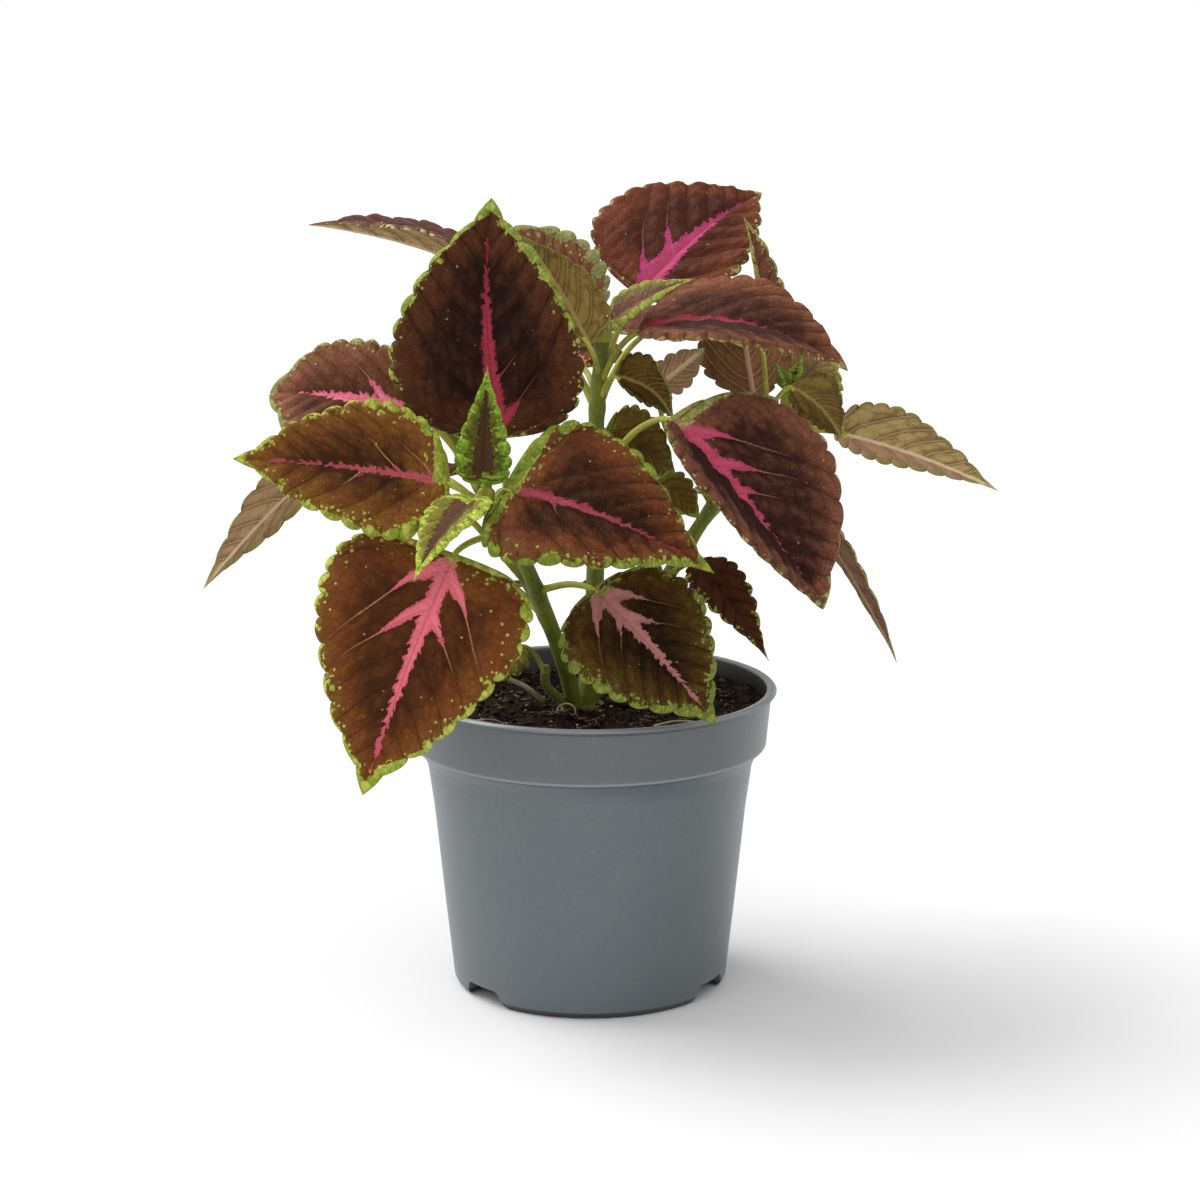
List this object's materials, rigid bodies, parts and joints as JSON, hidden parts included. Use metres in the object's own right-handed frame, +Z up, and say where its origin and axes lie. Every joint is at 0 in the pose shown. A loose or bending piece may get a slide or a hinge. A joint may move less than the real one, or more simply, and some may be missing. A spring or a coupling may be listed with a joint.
{
  "type": "potted coleus plant",
  "caption": "Coleus with scalloped, pink-veined brown leaves edged in lime on green stems, growing in soil in a round grey plastic nursery pot.",
  "frame": {"origin": "on the pot's axis, in the plane that the pot stands on", "axes": "+Z up along the pot's axis, -Y towards the front of the plant, +X to its right seen from the front"},
  "size_m": [0.2545, 0.1808, 0.2541],
  "materials": {
    "pot": "matte blue-grey moulded plastic with faint scuffs",
    "soil": "dark, loose, fibrous potting soil",
    "stem": "soft, slightly downy green stem",
    "leaf": "quilted, satin leaf, brown to burgundy with pink veins and a lime edge",
    "young_leaf": "soft green young leaf with a dark middle"
  },
  "bodies": {
    "root": {"pot": "pot", "soil": "soil", "stems": "stem", "tip_left": "young_leaf", "tip_middle": "young_leaf", "tip_right": "young_leaf", "tip_back": "young_leaf", "leaf_left_upright": "leaf", "leaf_left_front": "leaf", "leaf_left_side": "leaf", "leaf_left_right": "leaf", "leaf_front_low": "leaf", "leaf_left_low": "leaf", "leaf_left_back": "leaf", "leaf_top_left": "leaf", "leaf_top_back": "leaf", "leaf_top_right": "leaf", "leaf_top_hidden": "leaf", "leaf_top_folded": "leaf", "leaf_right_large": "leaf", "leaf_right_curled": "leaf", "leaf_middle_back": "leaf", "leaf_right_small": "leaf", "leaf_right_low": "leaf", "leaf_far_upright": "leaf", "leaf_far_wide": "leaf", "leaf_far_right": "leaf", "leaf_far_top": "leaf", "leaf_far_folded": "leaf", "leaf_far_down": "leaf", "leaf_right_pale": "leaf", "leaf_low": "leaf", "leaf_back_top": "leaf", "leaf_back_top_right": "leaf", "leaf_back_left": "leaf", "leaf_back_right": "leaf", "leaf_back_far": "leaf", "leaf_back_middle": "leaf", "leaf_back_left_low": "leaf", "leaf_back_right_low": "leaf", "leaf_back_low": "leaf", "leaf_back_bottom": "leaf"}
  },
  "joints": []
}
